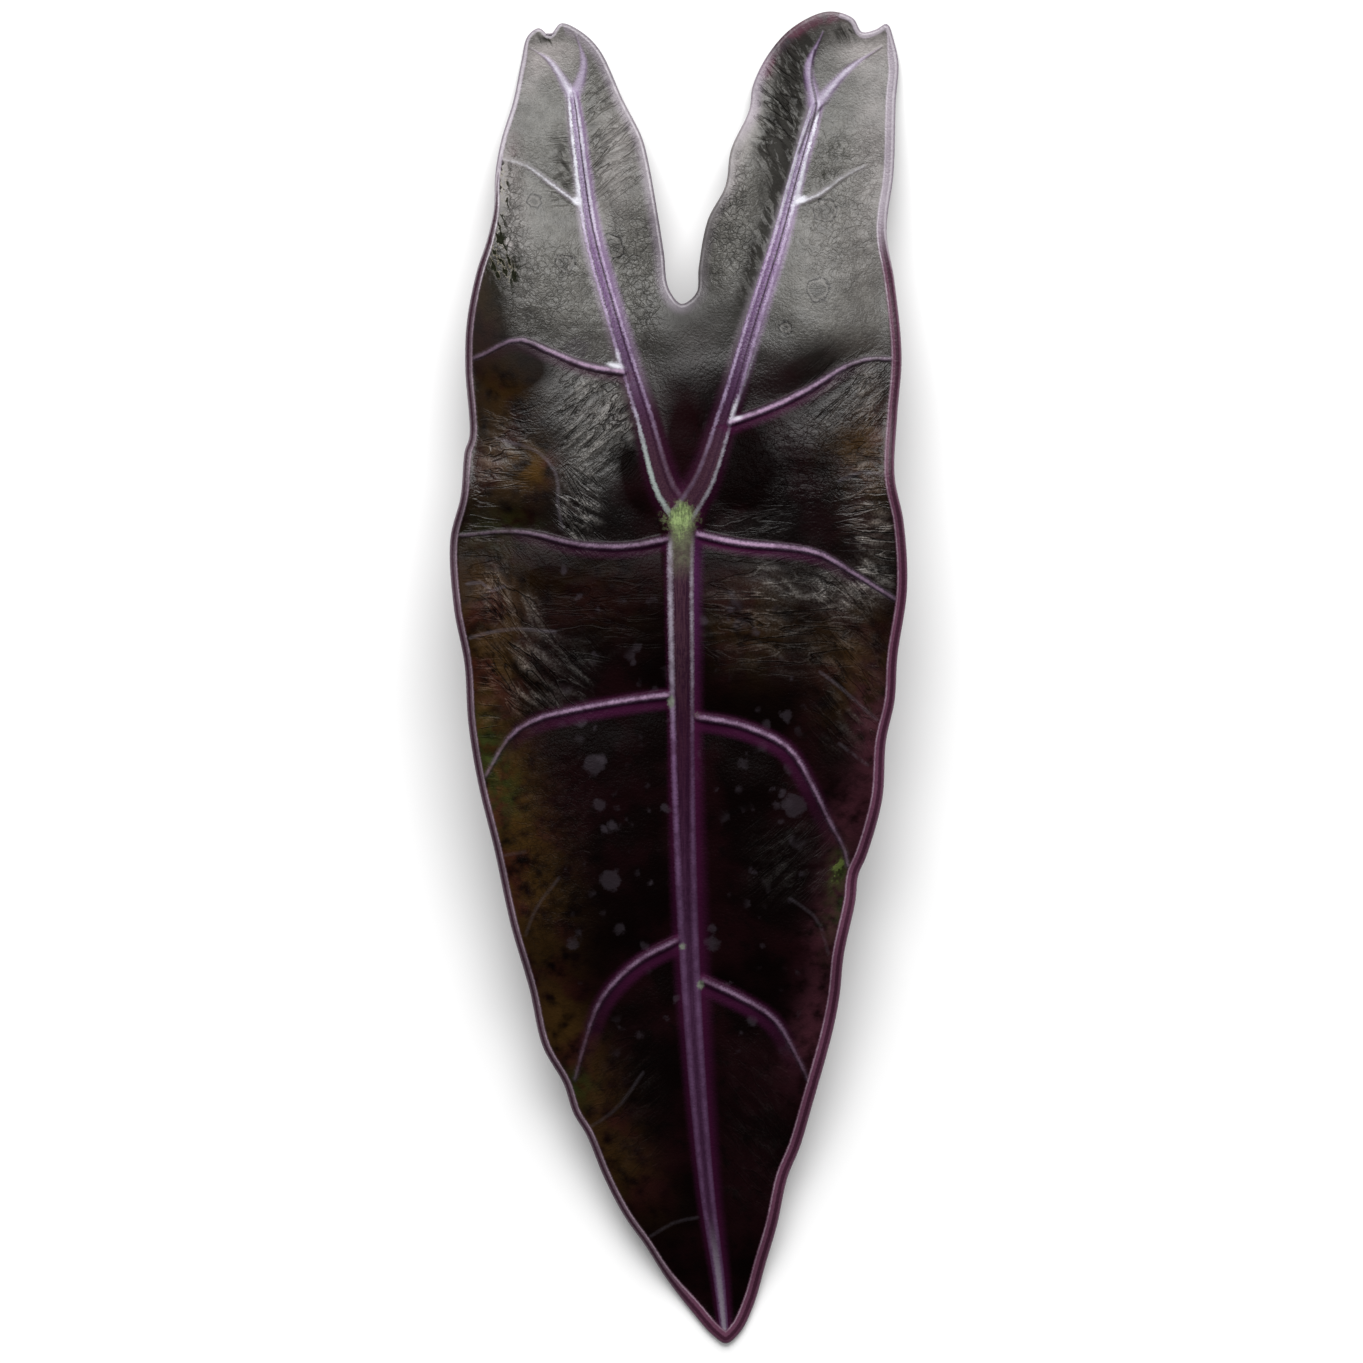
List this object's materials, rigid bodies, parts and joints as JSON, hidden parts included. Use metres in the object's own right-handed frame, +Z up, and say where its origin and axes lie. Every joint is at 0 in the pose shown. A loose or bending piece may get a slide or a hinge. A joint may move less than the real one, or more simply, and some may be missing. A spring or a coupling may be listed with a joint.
{
  "type": "alocasia leaf",
  "caption": "Picked arrow-shaped alocasia leaf, near-black with raised purple ribs and veins, a thick waved margin and a short cut stalk, arched and lying face up.",
  "frame": {"origin": "under the middle of the leaf, on the surface it lies on", "axes": "+Y along the leaf from its tip to its basal lobes, +Z up out of the leaf's upper face, +X to the right seen from above with the lobes away"},
  "size_m": [0.096, 0.2802, 0.024],
  "materials": {
    "leaf_skin": "waxy satin leaf surface, near-black maroon with purple ribs"
  },
  "bodies": {
    "root": {"leaf": "leaf_skin"}
  },
  "joints": []
}
